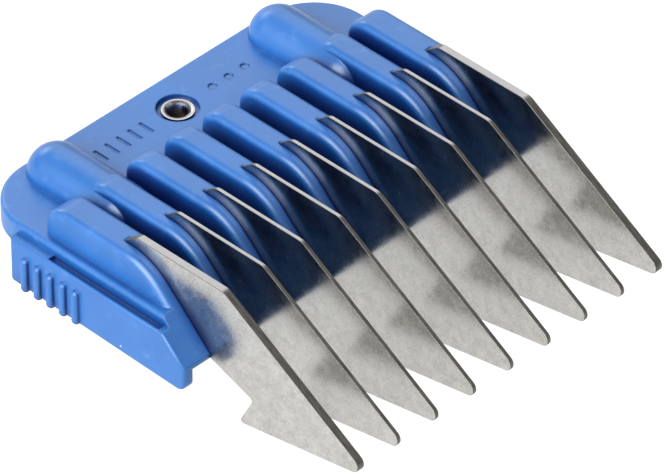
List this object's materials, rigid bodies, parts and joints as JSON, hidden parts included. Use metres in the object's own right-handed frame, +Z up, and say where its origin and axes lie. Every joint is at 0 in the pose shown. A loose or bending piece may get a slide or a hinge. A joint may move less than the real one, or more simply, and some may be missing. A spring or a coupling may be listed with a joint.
{
  "type": "clipper guard comb",
  "caption": "Clip-on guard comb for a hair clipper: a blue moulded body holding thin steel tooth plates, with a sprung latch under its deck.",
  "frame": {"origin": "under the middle of the comb, level with the lowest points of the tooth hooks", "axes": "+X across the teeth, tips towards -Y, +Z up, square to the rib tops and the deck"},
  "size_m": [0.0584, 0.0578, 0.017],
  "materials": {
    "blue_plastic": "glossy blue moulding",
    "slide_plastic": "blue moulding, satin sheen",
    "tooth_steel": "tumbled stainless plate",
    "rivet_steel": "plated steel",
    "spring_steel": "drawn spring wire"
  },
  "bodies": {
    "comb": {"comb_body": "blue_plastic", "tooth_1": "tooth_steel", "tooth_2": "tooth_steel", "tooth_3": "tooth_steel", "tooth_4": "tooth_steel", "tooth_5": "tooth_steel", "tooth_6": "tooth_steel", "tooth_7": "tooth_steel", "tooth_8": "tooth_steel", "tooth_9": "tooth_steel", "rivet": "rivet_steel", "washer": "rivet_steel", "spring_left": "spring_steel", "spring_right": "spring_steel"},
    "latch": {"latch_slide": "slide_plastic"}
  },
  "joints": [
    {"name": "latch_travel", "type": "slide", "parent": "comb", "child": "latch", "axis": [0, 1, 0], "range_m": [0, 0.002], "stiffness_N_per_m": 800, "springref_m": -0.003, "deforming": ["spring_left", "spring_right"]}
  ]
}
